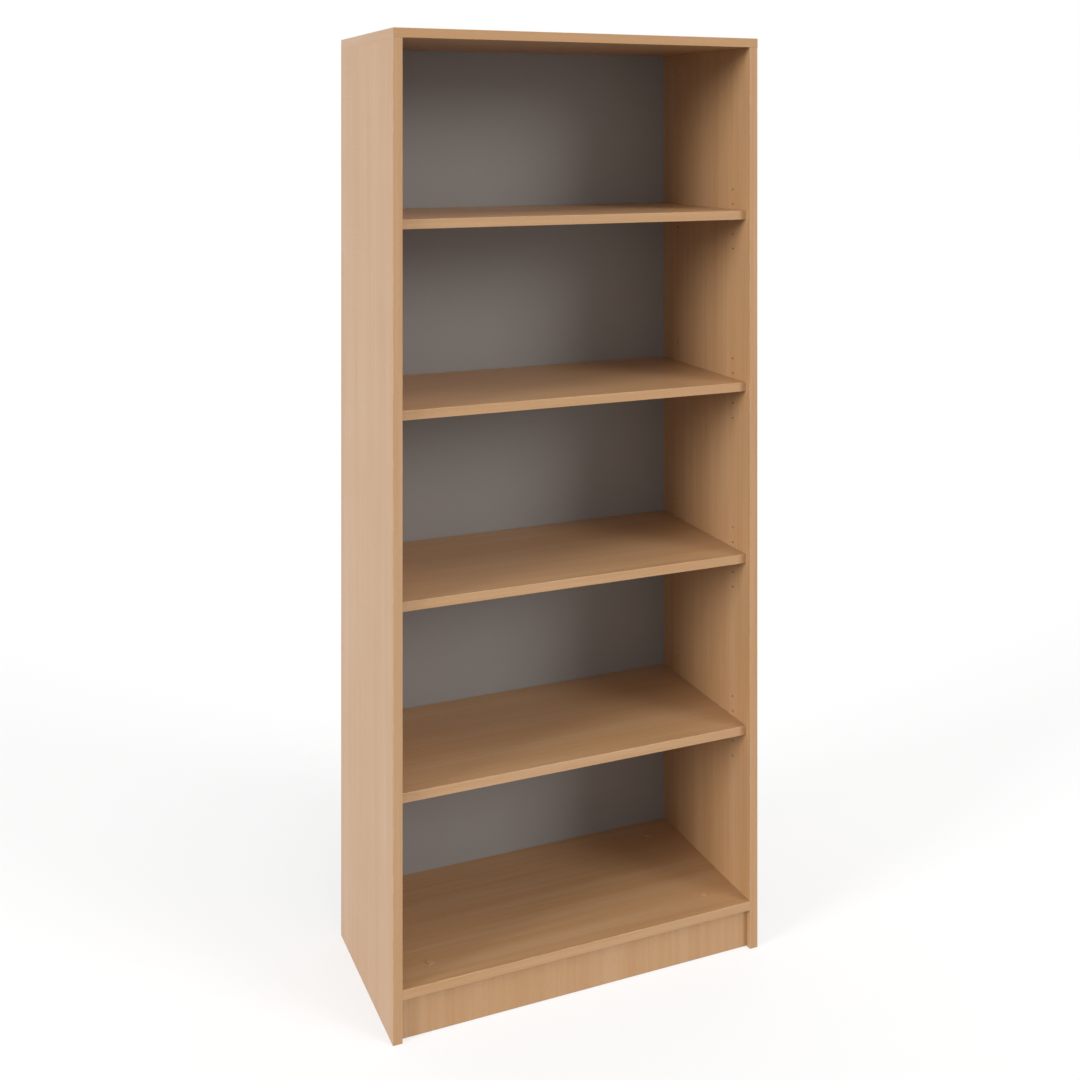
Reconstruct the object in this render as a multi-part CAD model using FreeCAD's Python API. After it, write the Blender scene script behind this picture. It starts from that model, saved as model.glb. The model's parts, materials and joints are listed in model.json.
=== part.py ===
"""Archive shelving unit: an open carcass of beech-faced boards with four loose shelves.

Sizes are in millimetres. The origin is on the floor under the middle of the unit, +Z is up,
+X is to the right and the open front faces -Y.
"""

import math
import os

import FreeCAD
import Part

# Overall size
WIDTH = 800.0
DEPTH = 384.0
HEIGHT = 1920.0

# Boards, edge bands and back panel
BOARD = 19.0
BAND = 2.0
BAND_ROUND = 1.0
BACK = 3.0
RABBET_WIDTH = 10.0
BACK_EDGE_GAP = 0.5

# Base
BASE_HEIGHT = 81.0
PLINTH_SETBACK = 12.0
PLINTH_FLOOR_GAP = 1.0

# Loose shelves
SHELF_COUNT = 4
SHELF_SETBACK = 16.5
SHELF_END_GAP = 0.5
SHELF_REAR_GAP = 1.0

# Drilled rows in the sides, and the shelf pins that go into them
DRILL_LINE = 69.0
HOLE_PITCH = 32.0
SPARE_HOLES = 2
PIN_DIAMETER = 5.0
PIN_HOLE_DEPTH = 12.0
PIN_SHANK = 10.0
PEG_DIAMETER = 7.0
PEG_LENGTH = 11.0
PEG_FLAT = 1.0
PEG_CHAMFER = 0.6

# Cam fittings: a lock in one board draws in a bolt that is screwed into the other
CAM_DIAMETER = 15.0
CAM_REACH = 34.0
CAM_BELOW_BOLT = 4.6
CAM_FACE_GAP = 0.5
CAM_SLOT_LENGTH = 9.0
CAM_SLOT_WIDTH = 1.4
CAM_SLOT_DEPTH = 2.0
BOLT_DIAMETER = 6.0
BOLT_THREAD = 11.0
BOLT_NECK_DIAMETER = 4.0
BOLT_NECK_LENGTH = 5.0
BOLT_HEAD_DIAMETER = 7.0
BOLT_HEAD_LENGTH = 3.0
BOLT_CROSS_LENGTH = 4.0
BOLT_CROSS_WIDTH = 0.9
BOLT_CROSS_DEPTH = 2.0
BOLT_CHANNEL_DIAMETER = 8.0
CAP_RIM = 1.0
CAP_THICKNESS = 1.2

# Wooden dowels beside the cam fittings
DOWEL_DIAMETER = 8.0
DOWEL_LENGTH = 30.0
DOWEL_SHORT_END = 11.0
DOWEL_OFFSET = 32.0
DOWEL_CHAMFER = 0.8
PLINTH_CAM_DROP = 27.0

# Countersunk screws of the back panel
BACK_SCREW_DIAMETER = 3.0
BACK_SCREW_LENGTH = 16.0
BACK_SCREW_HEAD_DIAMETER = 6.0
BACK_SCREW_HEAD_DEPTH = 1.7
BACK_SCREW_SUNK = 0.1
BACK_SCREW_CROSS_LENGTH = 3.2
BACK_SCREW_CROSS_WIDTH = 0.7
BACK_SCREW_CROSS_DEPTH = 1.0
BACK_SCREW_END_MARGIN = 60.0
BACK_SCREWS_PER_SIDE = 7
BACK_SCREW_COUNT_ACROSS = 3

# Levellers behind the plinths, turned with a key from above
LEVELLER_SIDE_INSET = 75.0
LEVELLER_PLINTH_GAP = 15.0
LEVELLER_TRAVEL = 15.0
HOUSING_WIDTH = 36.0
HOUSING_FLOOR_GAP = 21.0
HOUSING_ROOF = 6.0
FLANGE_LENGTH = 64.0
FLANGE_THICKNESS = 4.0
FLANGE_SCREW_SPACING = 50.0
FLANGE_SCREW_DIAMETER = 3.5
FLANGE_SCREW_LENGTH = 15.0
FLANGE_SCREW_HEAD_DIAMETER = 7.0
FLANGE_SCREW_HEAD_HEIGHT = 2.2
FLANGE_SCREW_CROSS_LENGTH = 3.6
FLANGE_SCREW_CROSS_WIDTH = 0.8
FLANGE_SCREW_CROSS_DEPTH = 1.4
SCREW_DIAMETER = 8.0
SCREW_COLLAR_DIAMETER = 16.0
SCREW_COLLAR_HEIGHT = 4.0
SCREW_KEY_SIDES = 6
SCREW_KEY_WIDTH = 5.0
SCREW_KEY_DEPTH = 3.0
SCREW_GRIP = 26.0
STEM_WIDTH = 16.0
STEM_TOP_GAP = 3.0
STEM_BORE_GAP = 2.0
FOOT_DIAMETER = 32.0
FOOT_TOP_DIAMETER = 24.0
FOOT_HEIGHT = 6.0
FOOT_FLOOR_GAP = 0.5
ACCESS_DIAMETER = 10.0
PLUG_RIM = 2.0
PLUG_THICKNESS = 1.2
PLUG_DEPTH = 8.0
PLUG_WALL = 1.2

# Play between pieces
FIT = 0.05
SLIDE_PLAY = 0.15
COLLAR_PLAY = 0.3
HOLE_END_GAP = 1.0

# Planes and levels worked out from the sizes above
FRONT = -DEPTH / 2
REAR = DEPTH / 2
OUTER_X = WIDTH / 2
INNER_X = OUTER_X - BOARD
BACK_FACE = REAR - BACK
TOP_SEAM = HEIGHT - BOARD
FLOOR_BOARD_TOP = BASE_HEIGHT + BOARD
BAY_HEIGHT = (TOP_SEAM - FLOOR_BOARD_TOP - SHELF_COUNT * BOARD) / (SHELF_COUNT + 1)
PEG_RISE = PEG_DIAMETER / 2 - PEG_FLAT
DRILL_ROWS = (FRONT + DRILL_LINE, REAR - DRILL_LINE)
SIDES = {"left": -1, "right": 1}
CAM_DEPTH = BOARD / 2 + CAM_BELOW_BOLT
LEVELLER_ROOF = BASE_HEIGHT - SCREW_COLLAR_HEIGHT - COLLAR_PLAY
GUIDE_TOP = LEVELLER_ROOF - HOUSING_ROOF
STEM_TOP = GUIDE_TOP - STEM_TOP_GAP
SCREW_TIP_HEIGHT = STEM_TOP - LEVELLER_TRAVEL - SCREW_GRIP

X_AXIS = FreeCAD.Vector(1, 0, 0)
Y_AXIS = FreeCAD.Vector(0, 1, 0)
Z_AXIS = FreeCAD.Vector(0, 0, 1)


def block(low, high):
    """A box between two corners, given in any order along each axis."""
    corner = [min(a, b) for a, b in zip(low, high)]
    size = [abs(a - b) for a, b in zip(low, high)]
    return Part.makeBox(*size, FreeCAD.Vector(*corner))


def rod(start, axis, diameter, length):
    """A round bar from a start point along an axis."""
    return Part.makeCylinder(diameter / 2, length, FreeCAD.Vector(*start), axis)


def union(shapes):
    """One solid from shapes that touch or overlap."""
    first, *others = shapes
    return first.fuse(others).removeSplitter()


def cross_recess(face, outward, length, width, depth):
    """Two crossed slots for a screwdriver, sunk from a point on a face that looks along an axis."""
    half = length / 2
    edge = width / 2
    slot = block((-half, -edge, -depth), (half, edge, 0))
    cross = block((-edge, -half, -depth), (edge, half, 0))
    recess = union([slot, cross])
    recess.Placement = FreeCAD.Placement(FreeCAD.Vector(*face), FreeCAD.Rotation(Z_AXIS, outward))
    return recess


def round_band(band, axis, is_outer):
    """Rounds the edges of a band that run along an axis and whose middle satisfies a test."""
    edges = [
        edge
        for edge in band.Edges
        if edge.tangentAt(edge.FirstParameter).cross(axis).Length < FIT and is_outer(edge.CenterOfMass)
    ]
    return band.makeFillet(min(BAND_ROUND, BAND / 2), edges)


def evenly(low, high, count):
    """Places spaced evenly from low to high, both ends included."""
    return [low + (high - low) * i / (count - 1) for i in range(count)]


def export(name, shapes):
    """Writes one node, either a single solid or a group of separate solids."""
    shape = shapes[0] if len(shapes) == 1 else Part.makeCompound(shapes)
    shape.exportStep(f"parts/{name}.step")
    print(name, len(shape.Solids), "solids", round(shape.Volume), "mm3", shape.isValid())


class Seam:
    """One fastening between two boards, in a frame of its own.

    The frame's origin is where the bolt crosses the seam, +X points into the board that holds the
    lock, and +Z points out of the face in which the lock is set.
    """

    def __init__(self, point, into_lock_board, lock_face, dowel_shift):
        x_axis = FreeCAD.Vector(*into_lock_board)
        z_axis = FreeCAD.Vector(*lock_face)
        y_axis = z_axis.cross(x_axis)
        self.matrix = FreeCAD.Matrix(
            x_axis.x, y_axis.x, z_axis.x, point[0],
            x_axis.y, y_axis.y, z_axis.y, point[1],
            x_axis.z, y_axis.z, z_axis.z, point[2],
            0, 0, 0, 1,
        )
        self.dowel_move = FreeCAD.Vector(*dowel_shift)

    def place(self, shape):
        """A shape of the seam's own frame, moved to where the seam is in the unit."""
        return shape.transformShape(self.matrix, True)

    def lock_cuts(self):
        """The pocket of the lock and the channel of the bolt, cut from the board with the lock."""
        floor = BOARD / 2 - CAM_DEPTH
        pocket = rod((CAM_REACH, 0, floor), Z_AXIS, CAM_DIAMETER, CAM_DEPTH)
        channel = rod((0, 0, 0), X_AXIS, BOLT_CHANNEL_DIAMETER, CAM_REACH)
        return [self.place(pocket), self.place(channel)]

    def thread_cut(self):
        """The hole that the bolt is screwed into, in the other board."""
        hole = rod((0, 0, 0), -X_AXIS, BOLT_DIAMETER + 2 * FIT, BOLT_THREAD + HOLE_END_GAP)
        return self.place(hole)

    def lock(self):
        """A round cam lock with a hollow for the bolt's head and a cross slot in its face."""
        height = CAM_DEPTH - CAM_FACE_GAP
        floor = BOARD / 2 - CAM_DEPTH
        body = rod((CAM_REACH, 0, floor), Z_AXIS, CAM_DIAMETER - 2 * FIT, height)
        hollow_diameter = BOLT_HEAD_DIAMETER + 2 * COLLAR_PLAY
        hollow = rod((0, 0, 0), X_AXIS, hollow_diameter, CAM_REACH + BOLT_HEAD_LENGTH)
        face = (CAM_REACH, 0, floor + height)
        recess = cross_recess(face, Z_AXIS, CAM_SLOT_LENGTH, CAM_SLOT_WIDTH, CAM_SLOT_DEPTH)
        return self.place(body.cut([hollow, recess]))

    def bolt(self):
        """A bolt with its thread in one board and a headed neck that the lock draws in."""
        head_start = CAM_REACH - BOLT_HEAD_LENGTH / 2
        neck_start = head_start - BOLT_NECK_LENGTH
        shank = rod((-BOLT_THREAD, 0, 0), X_AXIS, BOLT_DIAMETER, BOLT_THREAD + neck_start)
        neck = rod((neck_start, 0, 0), X_AXIS, BOLT_NECK_DIAMETER, BOLT_NECK_LENGTH)
        head = rod((head_start, 0, 0), X_AXIS, BOLT_HEAD_DIAMETER, BOLT_HEAD_LENGTH)
        face = (head_start + BOLT_HEAD_LENGTH, 0, 0)
        recess = cross_recess(face, X_AXIS, BOLT_CROSS_LENGTH, BOLT_CROSS_WIDTH, BOLT_CROSS_DEPTH)
        return self.place(union([shank, neck, head]).cut(recess))

    def cover_cap(self):
        """A thin disc over the lock, proud of the board's face by its thickness."""
        disc = rod((CAM_REACH, 0, BOARD / 2), Z_AXIS, CAM_DIAMETER + 2 * CAP_RIM, CAP_THICKNESS)
        spigot_diameter = CAM_DIAMETER - 2 * COLLAR_PLAY
        spigot = rod((CAM_REACH, 0, BOARD / 2 - CAM_FACE_GAP), Z_AXIS, spigot_diameter, CAM_FACE_GAP)
        return self.place(union([disc, spigot]))

    def dowel_cut(self):
        """The hole for the dowel, through the seam into both boards."""
        start = -DOWEL_SHORT_END - HOLE_END_GAP
        hole = rod((start, 0, 0), X_AXIS, DOWEL_DIAMETER, DOWEL_LENGTH + 2 * HOLE_END_GAP)
        return self.place(hole).translated(self.dowel_move)

    def dowel(self):
        """A wooden dowel with chamfered ends."""
        body = rod((-DOWEL_SHORT_END, 0, 0), X_AXIS, DOWEL_DIAMETER - 2 * FIT, DOWEL_LENGTH)
        rims = [edge for edge in body.Edges if len(edge.Vertexes) == 1]
        return self.place(body.makeChamfer(DOWEL_CHAMFER, rims)).translated(self.dowel_move)


def toward_middle(y):
    """A shift along the depth from a drilled row to the dowel beside it."""
    return (0, math.copysign(DOWEL_OFFSET, -y), 0)


def top_seams(side):
    """The fastenings between one side panel and the top, with their locks in the side."""
    x = side * (OUTER_X - BOARD / 2)
    return [
        Seam((x, y, TOP_SEAM), (0, 0, -1), (-side, 0, 0), toward_middle(y))
        for y in DRILL_ROWS
    ]


def bottom_seams(side):
    """The fastenings between one side panel and the bottom panel, locked from underneath."""
    z = BASE_HEIGHT + BOARD / 2
    return [
        Seam((side * INNER_X, y, z), (-side, 0, 0), (0, 0, -1), toward_middle(y))
        for y in DRILL_ROWS
    ]


def plinth_middles():
    """The mid-depth of each plinth, with the direction of its hidden face."""
    front = FRONT + PLINTH_SETBACK + BOARD / 2
    rear = BACK_FACE - BOARD / 2
    return {"front": (front, 1), "rear": (rear, -1)}


def plinth_seam(side, place):
    """The fastening between one side panel and one end of a plinth."""
    y, inward = plinth_middles()[place]
    z = BASE_HEIGHT - PLINTH_CAM_DROP
    return Seam((side * INNER_X, y, z), (-side, 0, 0), (0, inward, 0), (0, 0, -DOWEL_OFFSET))


def shelf_level(number):
    """The height of a shelf's underside, counted from the top."""
    return TOP_SEAM - number * (BAY_HEIGHT + BOARD)


def pin_level(number):
    """The height of the axis of the pins that carry a shelf."""
    return shelf_level(number) - PEG_RISE


def pin_holes(side):
    """All shelf-pin holes of one side, a short row round each shelf's pins, front and rear."""
    holes = []
    for number in range(1, SHELF_COUNT + 1):
        for step in range(-SPARE_HOLES, SPARE_HOLES + 1):
            z = pin_level(number) + step * HOLE_PITCH
            for y in DRILL_ROWS:
                start = (side * INNER_X, y, z)
                holes.append(rod(start, X_AXIS * side, PIN_DIAMETER, PIN_HOLE_DEPTH))
    return holes


def shelf_pins(number):
    """The four steel pins of one shelf: a shank in the hole and a peg with a flat for the shelf."""
    z = pin_level(number)
    pins = []
    for side in SIDES.values():
        for y in DRILL_ROWS:
            face = (side * INNER_X, y, z)
            shank = rod(face, X_AXIS * side, PIN_DIAMETER - 2 * FIT, PIN_SHANK)
            peg = rod(face, X_AXIS * -side, PEG_DIAMETER, PEG_LENGTH)
            tip_x = side * (INNER_X - PEG_LENGTH)
            tip = [edge for edge in peg.Edges if abs(edge.CenterOfMass.x - tip_x) < FIT]
            peg = peg.makeChamfer(PEG_CHAMFER, tip)
            half = PEG_DIAMETER / 2
            flat = block((face[0], y - half, z + PEG_RISE), (tip_x, y + half, z + half))
            pins.append(union([shank, peg.cut(flat)]))
    return pins


def back_screw_points():
    """Where the back panel is screwed on, as X and Z on its rear face."""
    x_edge = INNER_X + RABBET_WIDTH / 2
    low = FLOOR_BOARD_TOP + BACK_SCREW_END_MARGIN
    high = TOP_SEAM - BACK_SCREW_END_MARGIN
    points = [
        (side * x_edge, z)
        for side in SIDES.values()
        for z in evenly(low, high, BACK_SCREWS_PER_SIDE)
    ]
    reach = INNER_X - BACK_SCREW_END_MARGIN
    for x in evenly(-reach, reach, BACK_SCREW_COUNT_ACROSS):
        points.append((x, TOP_SEAM + RABBET_WIDTH / 2))
        points.append((x, BASE_HEIGHT + BOARD / 2))
    return points


def back_screw(x, z):
    """A countersunk screw from the rear face of the back panel, with a cross recess."""
    face = (x, REAR - BACK_SCREW_SUNK, z)
    shank = rod(face, -Y_AXIS, BACK_SCREW_DIAMETER, BACK_SCREW_LENGTH)
    head = Part.makeCone(
        BACK_SCREW_HEAD_DIAMETER / 2,
        BACK_SCREW_DIAMETER / 2,
        BACK_SCREW_HEAD_DEPTH,
        FreeCAD.Vector(*face),
        -Y_AXIS,
    )
    recess = cross_recess(
        face, Y_AXIS, BACK_SCREW_CROSS_LENGTH, BACK_SCREW_CROSS_WIDTH, BACK_SCREW_CROSS_DEPTH,
    )
    return union([shank, head]).cut(recess)


def back_screw_cuts(x, z):
    """The clearance hole and countersink of one back-panel screw."""
    hole_diameter = BACK_SCREW_DIAMETER + 2 * FIT
    hole = rod((x, REAR, z), -Y_AXIS, hole_diameter, BACK_SCREW_LENGTH + HOLE_END_GAP)
    sink = Part.makeCone(
        BACK_SCREW_HEAD_DIAMETER / 2 + BACK_SCREW_SUNK + FIT,
        hole_diameter / 2,
        BACK_SCREW_HEAD_DEPTH + BACK_SCREW_SUNK,
        FreeCAD.Vector(x, REAR, z),
        -Y_AXIS,
    )
    return [hole, sink]


def back_holes():
    """The holes of all back-panel screws, cut from each board that they reach."""
    return [back_screw_cuts(x, z)[0] for x, z in back_screw_points()]


def side_panel(side):
    """A full-height side with a rabbet for the back panel and all its drilled holes."""
    outer = side * OUTER_X
    inner = side * INNER_X
    panel = block((outer, FRONT + BAND, 0), (inner, REAR, TOP_SEAM))
    rabbet = block((inner, BACK_FACE, 0), (inner + side * RABBET_WIDTH, REAR, TOP_SEAM))
    cuts = [rabbet] + pin_holes(side) + back_holes()
    for seam in top_seams(side):
        cuts += seam.lock_cuts() + [seam.dowel_cut()]
    for seam in bottom_seams(side) + [plinth_seam(side, place) for place in plinth_middles()]:
        cuts += [seam.thread_cut(), seam.dowel_cut()]
    return panel.cut(cuts)


def top_panel():
    """The top, which lies over both sides and takes the upper edge of the back panel."""
    low = (-OUTER_X + BAND, FRONT + BAND, TOP_SEAM)
    high = (OUTER_X - BAND, REAR, HEIGHT)
    reach = INNER_X + RABBET_WIDTH
    rabbet = block((-reach, BACK_FACE, TOP_SEAM), (reach, REAR, TOP_SEAM + RABBET_WIDTH))
    cuts = [rabbet] + back_holes()
    for side in SIDES.values():
        for seam in top_seams(side):
            cuts += [seam.thread_cut(), seam.dowel_cut()]
    return block(low, high).cut(cuts)


def bottom_panel():
    """The fixed bottom, flush with the front, with holes for the key of the levellers."""
    low = (-INNER_X, FRONT + BAND, BASE_HEIGHT)
    panel = block(low, (INNER_X, BACK_FACE, FLOOR_BOARD_TOP))
    cuts = back_holes()
    for side in SIDES.values():
        for seam in bottom_seams(side):
            cuts += seam.lock_cuts() + [seam.dowel_cut()]
    for x, y in leveller_points().values():
        cuts.append(rod((x, y, BASE_HEIGHT), Z_AXIS, ACCESS_DIAMETER, BOARD))
        cuts += [flange_screw_hole(sx, y) for sx in flange_screw_places(x)]
    return panel.cut(cuts)


def plinth(place):
    """A board on edge under the bottom panel, just clear of the floor."""
    middle = plinth_middles()[place][0]
    low = (-INNER_X, middle - BOARD / 2, PLINTH_FLOOR_GAP)
    panel = block(low, (INNER_X, middle + BOARD / 2, BASE_HEIGHT))
    cuts = []
    for side in SIDES.values():
        seam = plinth_seam(side, place)
        cuts += seam.lock_cuts() + [seam.dowel_cut()]
    return panel.cut(cuts)


def back_panel():
    """The thin back, let into the sides and the top and lying over the bottom panel's edge."""
    reach = INNER_X + RABBET_WIDTH - BACK_EDGE_GAP
    top = TOP_SEAM + RABBET_WIDTH - BACK_EDGE_GAP
    panel = block((-reach, BACK_FACE, BASE_HEIGHT), (reach, REAR, top))
    cuts = []
    for x, z in back_screw_points():
        cuts += back_screw_cuts(x, z)
    return panel.cut(cuts)


def shelf_front():
    """The plane of the shelves' front edges."""
    return FRONT + SHELF_SETBACK


def shelf(number):
    """One loose shelf, behind its edge band."""
    z = shelf_level(number)
    reach = INNER_X - SHELF_END_GAP
    low = (-reach, shelf_front() + BAND, z)
    return block(low, (reach, BACK_FACE - SHELF_REAR_GAP, z + BOARD))


def front_band(low_x, high_x, front, low_z, high_z):
    """An edge band on a front edge, with its two long outer edges rounded."""
    band = block((low_x, front, low_z), (high_x, front + BAND, high_z))
    long_axis = Z_AXIS if high_z - low_z > high_x - low_x else X_AXIS

    def is_outer(point):
        return abs(point.y - front) < FIT

    return round_band(band, long_axis, is_outer)


def side_band(side):
    """The band on the front edge of a side, up to the top panel."""
    outer = side * OUTER_X
    inner = side * INNER_X
    return front_band(min(outer, inner), max(outer, inner), FRONT, 0, TOP_SEAM)


def top_bands():
    """The bands of the top: one along the front and one on each end behind it."""
    bands = [front_band(-OUTER_X, OUTER_X, FRONT, TOP_SEAM, HEIGHT)]
    for side in SIDES.values():
        outer = side * OUTER_X
        band = block((outer, FRONT + BAND, TOP_SEAM), (outer - side * BAND, REAR, HEIGHT))

        def is_outer(point):
            return abs(point.x - outer) < FIT and abs(point.z - HEIGHT) < FIT

        bands.append(round_band(band, Y_AXIS, is_outer))
    return bands


def bottom_band():
    """The band on the front edge of the bottom panel."""
    return front_band(-INNER_X, INNER_X, FRONT, BASE_HEIGHT, FLOOR_BOARD_TOP)


def shelf_band(number):
    """The band on the front edge of one loose shelf."""
    z = shelf_level(number)
    reach = INNER_X - SHELF_END_GAP
    return front_band(-reach, reach, shelf_front(), z, z + BOARD)


def leveller_points():
    """The axis of each leveller, as X and Y, by its corner of the unit."""
    points = {}
    for place, (middle, inward) in plinth_middles().items():
        y = middle + inward * (BOARD / 2 + LEVELLER_PLINTH_GAP + HOUSING_WIDTH / 2)
        for name, side in SIDES.items():
            points[f"{place}_{name}"] = (side * (INNER_X - LEVELLER_SIDE_INSET), y)
    return points


def flange_screw_places(x):
    """The X of the two screws of a housing, one on each side of its axis."""
    half = FLANGE_SCREW_SPACING / 2
    return (x - half, x + half)


def flange_screw_hole(x, y):
    """The hole of one housing screw, through the flange and into the bottom panel."""
    start = BASE_HEIGHT - FLANGE_THICKNESS
    length = FLANGE_SCREW_LENGTH + HOLE_END_GAP
    return rod((x, y, start), Z_AXIS, FLANGE_SCREW_DIAMETER + 2 * FIT, length)


def flange_screw(x, y):
    """A pan-head screw with a cross recess that holds a housing up against the bottom panel."""
    seat = BASE_HEIGHT - FLANGE_THICKNESS
    shank = rod((x, y, seat), Z_AXIS, FLANGE_SCREW_DIAMETER, FLANGE_SCREW_LENGTH)
    face = (x, y, seat - FLANGE_SCREW_HEAD_HEIGHT)
    head = rod(face, Z_AXIS, FLANGE_SCREW_HEAD_DIAMETER, FLANGE_SCREW_HEAD_HEIGHT)
    recess = cross_recess(
        face, -Z_AXIS, FLANGE_SCREW_CROSS_LENGTH, FLANGE_SCREW_CROSS_WIDTH, FLANGE_SCREW_CROSS_DEPTH,
    )
    return union([shank, head]).cut(recess)


def leveller_housing(x, y):
    """A block under the bottom panel that guides the foot's square stem and holds the screw."""
    half = HOUSING_WIDTH / 2
    body = block((x - half, y - half, HOUSING_FLOOR_GAP), (x + half, y + half, BASE_HEIGHT))
    flange_half = FLANGE_LENGTH / 2
    flange_low = (x - flange_half, y - half, BASE_HEIGHT - FLANGE_THICKNESS)
    flange = block(flange_low, (x + flange_half, y + half, BASE_HEIGHT))
    stem_half = STEM_WIDTH / 2 + SLIDE_PLAY
    guide_low = (x - stem_half, y - stem_half, HOUSING_FLOOR_GAP)
    guide = block(guide_low, (x + stem_half, y + stem_half, GUIDE_TOP))
    neck = rod((x, y, GUIDE_TOP), Z_AXIS, SCREW_DIAMETER + 2 * FIT, HOUSING_ROOF)
    collar_diameter = SCREW_COLLAR_DIAMETER + 2 * COLLAR_PLAY
    collar = rod((x, y, LEVELLER_ROOF), Z_AXIS, collar_diameter, BASE_HEIGHT - LEVELLER_ROOF)
    holes = [flange_screw_hole(sx, y) for sx in flange_screw_places(x)]
    return union([body, flange]).cut([guide, neck, collar] + holes)


def leveller_screw(x, y):
    """A captive screw: its collar lies on the housing, under the bottom panel."""
    collar = rod((x, y, LEVELLER_ROOF), Z_AXIS, SCREW_COLLAR_DIAMETER, SCREW_COLLAR_HEIGHT)
    shank_length = LEVELLER_ROOF - SCREW_TIP_HEIGHT
    shank = rod((x, y, SCREW_TIP_HEIGHT), Z_AXIS, SCREW_DIAMETER, shank_length)
    top = LEVELLER_ROOF + SCREW_COLLAR_HEIGHT
    step = 2 * math.pi / SCREW_KEY_SIDES
    corner_radius = SCREW_KEY_WIDTH / 2 / math.cos(step / 2)
    corners = [
        FreeCAD.Vector(
            x + corner_radius * math.cos(step * i),
            y + corner_radius * math.sin(step * i),
            top - SCREW_KEY_DEPTH,
        )
        for i in range(SCREW_KEY_SIDES)
    ]
    socket = Part.Face(Part.makePolygon(corners + corners[:1]))
    return union([collar, shank]).cut(socket.extrude(Z_AXIS * SCREW_KEY_DEPTH))


def leveller_foot(x, y):
    """A round foot on a square stem, which the screw drives down out of the housing."""
    half = STEM_WIDTH / 2
    stem = block((x - half, y - half, FOOT_FLOOR_GAP), (x + half, y + half, STEM_TOP))
    foot = Part.makeCone(
        FOOT_DIAMETER / 2,
        FOOT_TOP_DIAMETER / 2,
        FOOT_HEIGHT,
        FreeCAD.Vector(x, y, FOOT_FLOOR_GAP),
    )
    bore_floor = SCREW_TIP_HEIGHT - STEM_BORE_GAP
    bore = rod((x, y, bore_floor), Z_AXIS, SCREW_DIAMETER + 2 * FIT, STEM_TOP - bore_floor)
    return union([stem, foot]).cut(bore)


def access_plug(x, y):
    """A hollow plug over the hole through which a leveller is turned."""
    rim = rod((x, y, FLOOR_BOARD_TOP), Z_AXIS, ACCESS_DIAMETER + 2 * PLUG_RIM, PLUG_THICKNESS)
    stem_diameter = ACCESS_DIAMETER - 2 * FIT
    stem_start = (x, y, FLOOR_BOARD_TOP - PLUG_DEPTH)
    stem = rod(stem_start, Z_AXIS, stem_diameter, PLUG_DEPTH)
    hollow = rod(stem_start, Z_AXIS, stem_diameter - 2 * PLUG_WALL, PLUG_DEPTH)
    return union([rim, stem]).cut(hollow)


def export_fastenings(name, seams):
    """Writes the locks, bolts and dowels of one group of seams."""
    export(f"cam_locks_{name}", [seam.lock() for seam in seams])
    export(f"cam_bolts_{name}", [seam.bolt() for seam in seams])
    export(f"dowels_{name}", [seam.dowel() for seam in seams])


def main():
    """Builds every node and writes it to the parts folder."""
    os.makedirs("parts", exist_ok=True)

    for name, side in SIDES.items():
        export(f"side_panel_{name}", [side_panel(side)])
        export(f"side_edge_band_{name}", [side_band(side)])
    export("top_panel", [top_panel()])
    export("top_edge_bands", top_bands())
    export("bottom_panel", [bottom_panel()])
    export("bottom_edge_band", [bottom_band()])
    for place in plinth_middles():
        export(f"plinth_{place}", [plinth(place)])
    export("back_panel", [back_panel()])
    export("back_panel_screws", [back_screw(x, z) for x, z in back_screw_points()])

    for number in range(1, SHELF_COUNT + 1):
        export(f"shelf_{number}", [shelf(number)])
        export(f"shelf_edge_band_{number}", [shelf_band(number)])
        export(f"shelf_pins_{number}", shelf_pins(number))

    both_sides = SIDES.values()
    at_top = [seam for side in both_sides for seam in top_seams(side)]
    at_bottom = [seam for side in both_sides for seam in bottom_seams(side)]
    at_plinths = [plinth_seam(side, place) for side in both_sides for place in plinth_middles()]
    export_fastenings("top", at_top)
    export_fastenings("bottom", at_bottom)
    export_fastenings("plinths", at_plinths)
    export("cam_cover_caps", [seam.cover_cap() for seam in at_top])

    points = leveller_points()
    for corner, (x, y) in points.items():
        export(f"leveller_housing_{corner}", [leveller_housing(x, y)])
        export(f"leveller_screw_{corner}", [leveller_screw(x, y)])
        export(f"leveller_foot_{corner}", [leveller_foot(x, y)])
    screw_places = [(sx, y) for x, y in points.values() for sx in flange_screw_places(x)]
    export("leveller_housing_screws", [flange_screw(sx, y) for sx, y in screw_places])
    export("access_hole_plugs", [access_plug(x, y) for x, y in points.values()])


main()
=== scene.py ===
"""Looks of an open shelving unit: beech-faced boards, a grey back panel, steel and plastic fittings.

Lengths are in metres. The origin is on the floor under the middle of the unit, +Z is up, +X is to
the right and the open front faces -Y.
"""

import json
import logging
import math
from collections.abc import Iterable
from dataclasses import dataclass, replace
from enum import Enum
from typing import Any

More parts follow.
